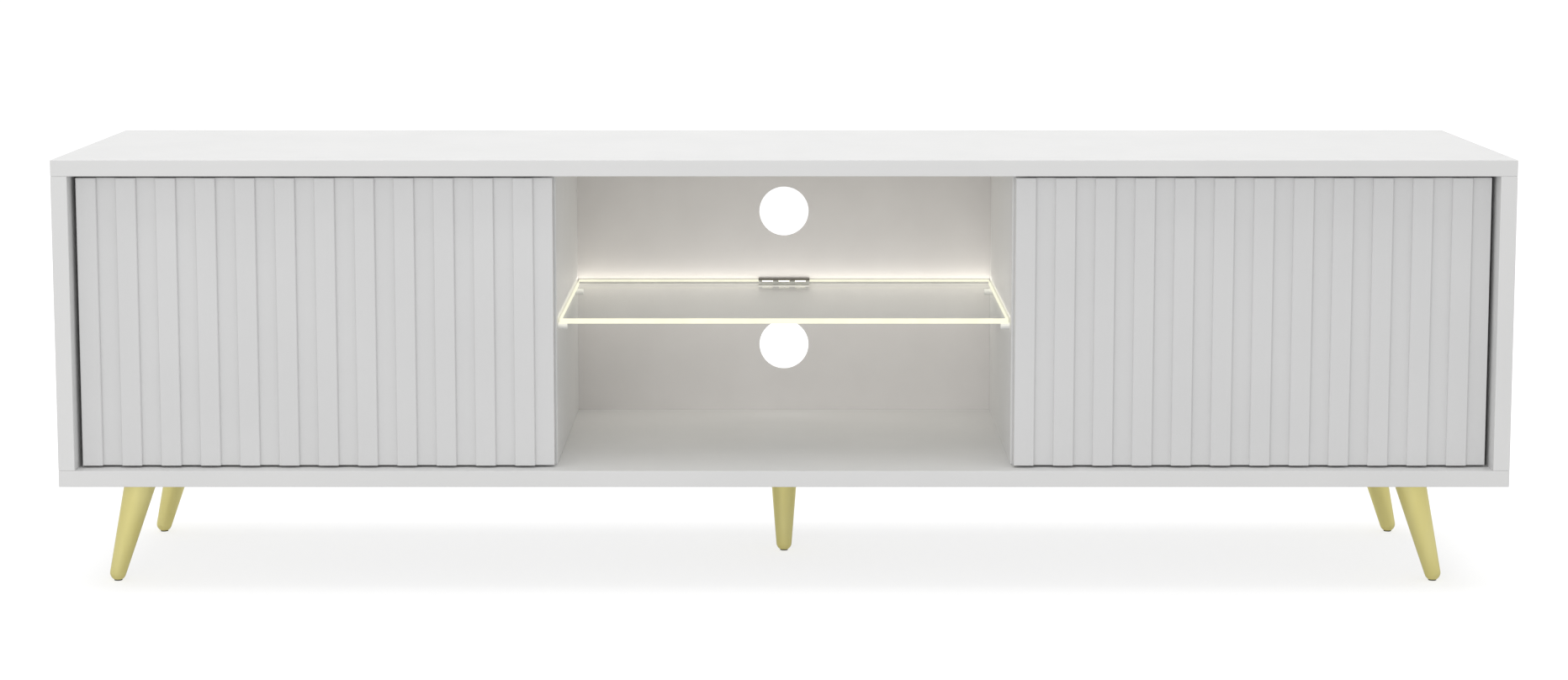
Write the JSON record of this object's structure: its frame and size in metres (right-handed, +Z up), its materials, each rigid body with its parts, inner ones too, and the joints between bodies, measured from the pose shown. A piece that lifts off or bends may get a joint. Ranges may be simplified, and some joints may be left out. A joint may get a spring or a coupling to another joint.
{
  "type": "tv stand",
  "caption": "Low white media cabinet with slatted hinged doors beside an open bay that holds a lit glass shelf, on tapered gold metal legs.",
  "frame": {"origin": "on the floor under the middle of the carcass, half way between its front and rear", "axes": "+X to the right along the width, +Y from the front towards the wall, +Z up"},
  "size_m": [1.6, 0.4, 0.482],
  "materials": {
    "white_board": "white melamine-faced board, satin",
    "white_door": "white lacquered milled board, satin",
    "back_sheet": "thin hardboard, white inside and outside",
    "clear_glass": "clear toughened glass with polished edges",
    "dark_clip": "dark grey painted metal, satin",
    "light_diode": "warm white light-emitting diodes",
    "white_plastic": "moulded plastic, matt",
    "dark_plastic": "moulded plastic, matt",
    "plated_steel": "nickel-plated steel",
    "zinc_cam": "die-cast zinc, dull",
    "beech": "fluted beech",
    "gold_leg": "satin champagne gold"
  },
  "bodies": {
    "carcass": {"top_panel": "white_board", "bottom_panel": "white_board", "left_side_panel": "white_board", "right_side_panel": "white_board", "left_divider": "white_board", "right_divider": "white_board", "back_panel": "back_sheet", "glass_shelf": "clear_glass", "glass_shelf_pins": "white_plastic", "led_clip": "dark_clip", "led_diodes": "light_diode", "left_inner_shelf": "white_board", "right_inner_shelf": "white_board", "inner_shelf_pins": "white_plastic", "left_lower_hinge_arm": "plated_steel", "left_upper_hinge_arm": "plated_steel", "right_lower_hinge_arm": "plated_steel", "right_upper_hinge_arm": "plated_steel", "left_lower_hinge_plate": "plated_steel", "left_upper_hinge_plate": "plated_steel", "right_lower_hinge_plate": "plated_steel", "right_upper_hinge_plate": "plated_steel", "hinge_arm_pins": "plated_steel", "hinge_plate_screws": "plated_steel", "left_latch_housing": "white_plastic", "right_latch_housing": "white_plastic", "latch_screws": "plated_steel", "front_left_leg": "gold_leg", "front_right_leg": "gold_leg", "rear_left_leg": "gold_leg", "rear_right_leg": "gold_leg", "centre_leg": "gold_leg", "leg_plates": "plated_steel", "leg_studs": "plated_steel", "leg_plate_screws": "plated_steel", "leg_glides": "dark_plastic", "cam_locks": "zinc_cam", "cam_bolts": "plated_steel", "wooden_dowels": "beech", "back_panel_nails": "plated_steel"},
    "left_hinge_links": {"left_lower_hinge_link": "plated_steel", "left_upper_hinge_link": "plated_steel"},
    "left_door": {"left_door_panel": "white_door", "left_lower_hinge_cup": "plated_steel", "left_upper_hinge_cup": "plated_steel", "left_hinge_cup_pins": "plated_steel", "left_hinge_cup_screws": "plated_steel", "left_latch_strike": "plated_steel"},
    "left_plunger": {"left_latch_plunger": "dark_plastic"},
    "right_hinge_links": {"right_lower_hinge_link": "plated_steel", "right_upper_hinge_link": "plated_steel"},
    "right_door": {"right_door_panel": "white_door", "right_lower_hinge_cup": "plated_steel", "right_upper_hinge_cup": "plated_steel", "right_hinge_cup_pins": "plated_steel", "right_hinge_cup_screws": "plated_steel", "right_latch_strike": "plated_steel"},
    "right_plunger": {"right_latch_plunger": "dark_plastic"}
  },
  "joints": [
    {"name": "left_link_turn", "type": "hinge", "parent": "carcass", "child": "left_hinge_links", "pos_m": [-0.276, -0.169, 0.3005], "axis": [0, 0, 1], "range_deg": [-26.84, 0]},
    {"name": "left_door_turn", "type": "hinge", "parent": "left_hinge_links", "child": "left_door", "pos_m": [-0.2625, -0.17, 0.3005], "axis": [0, 0, 1], "range_deg": [0, 122]},
    {"name": "left_plunger_slide", "type": "slide", "parent": "carcass", "child": "left_plunger", "axis": [0, -1, 0], "range_m": [0, 0.0107]},
    {"name": "right_link_turn", "type": "hinge", "parent": "carcass", "child": "right_hinge_links", "pos_m": [0.276, -0.169, 0.3005], "axis": [0, 0, -1], "range_deg": [-26.84, 0]},
    {"name": "right_door_turn", "type": "hinge", "parent": "right_hinge_links", "child": "right_door", "pos_m": [0.2625, -0.17, 0.3005], "axis": [0, 0, -1], "range_deg": [0, 122]},
    {"name": "right_plunger_slide", "type": "slide", "parent": "carcass", "child": "right_plunger", "axis": [0, -1, 0], "range_m": [0, 0.0107]}
  ],
  "couplings": [
    {"joint": "left_door_turn", "follows": "left_link_turn", "ratio": -4.5454},
    {"joint": "left_plunger_slide", "follows": "left_link_turn", "m_per_rad": -0.0227},
    {"joint": "right_door_turn", "follows": "right_link_turn", "ratio": -4.5454},
    {"joint": "right_plunger_slide", "follows": "right_link_turn", "m_per_rad": -0.0227}
  ]
}
